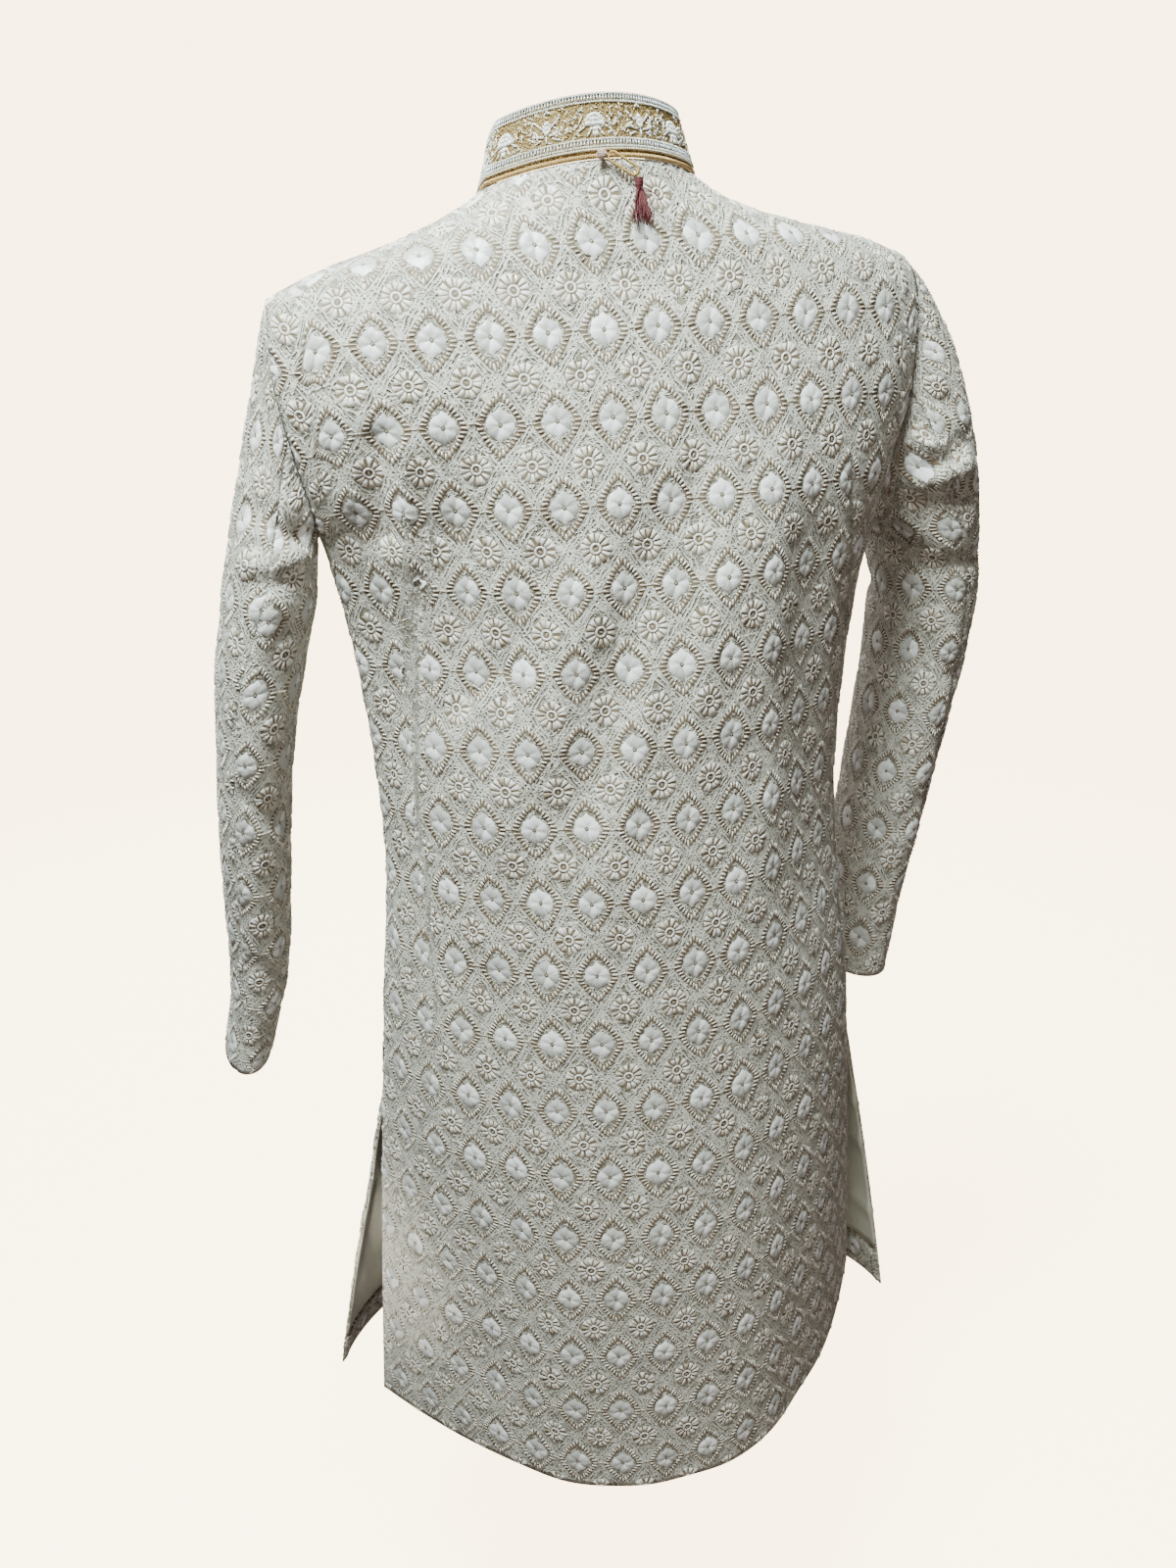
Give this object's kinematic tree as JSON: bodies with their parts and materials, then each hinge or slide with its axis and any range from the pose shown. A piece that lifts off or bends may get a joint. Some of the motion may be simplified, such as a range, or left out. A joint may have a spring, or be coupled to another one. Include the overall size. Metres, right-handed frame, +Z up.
{
  "type": "sherwani coat worn open at neck and hem",
  "caption": "Knee-length men's sherwani coat in allover embroidered cloth, with a beaded stand collar, long sleeves and open side slits.",
  "frame": {"origin": "middle of the neck seam, where the coat rests on the wearer's neck and shoulders", "axes": "+Z up, the coat's front faces -Y, the wearer's left is +X"},
  "size_m": [0.69, 0.3515, 1.0732],
  "materials": {
    "cloth": "woven ground worked all over in raised thread",
    "lining": "satin",
    "collar": "stiffened cloth covered with beads",
    "piping": "gold thread cloth round a cord",
    "cord": "twisted thread",
    "tassel": "matt thread",
    "button": "satin, plain dome"
  },
  "bodies": {
    "root": {"back": "cloth", "front_left": "cloth", "front_right": "cloth", "top_sleeve_left": "cloth", "under_sleeve_left": "cloth", "top_sleeve_right": "cloth", "under_sleeve_right": "cloth", "facing_left": "cloth", "facing_right": "cloth", "lining_left": "lining", "lining_right": "lining", "collar": "collar", "neck_piping": "piping", "loop_knot": "cord", "hanging_loop": "cord", "tassel_head": "tassel", "tassel_skirt": "tassel", "button_1": "button", "button_2": "button", "button_3": "button", "button_4": "button", "button_5": "button", "button_6": "button", "button_7": "button", "button_8": "button", "button_9": "button"}
  },
  "joints": []
}
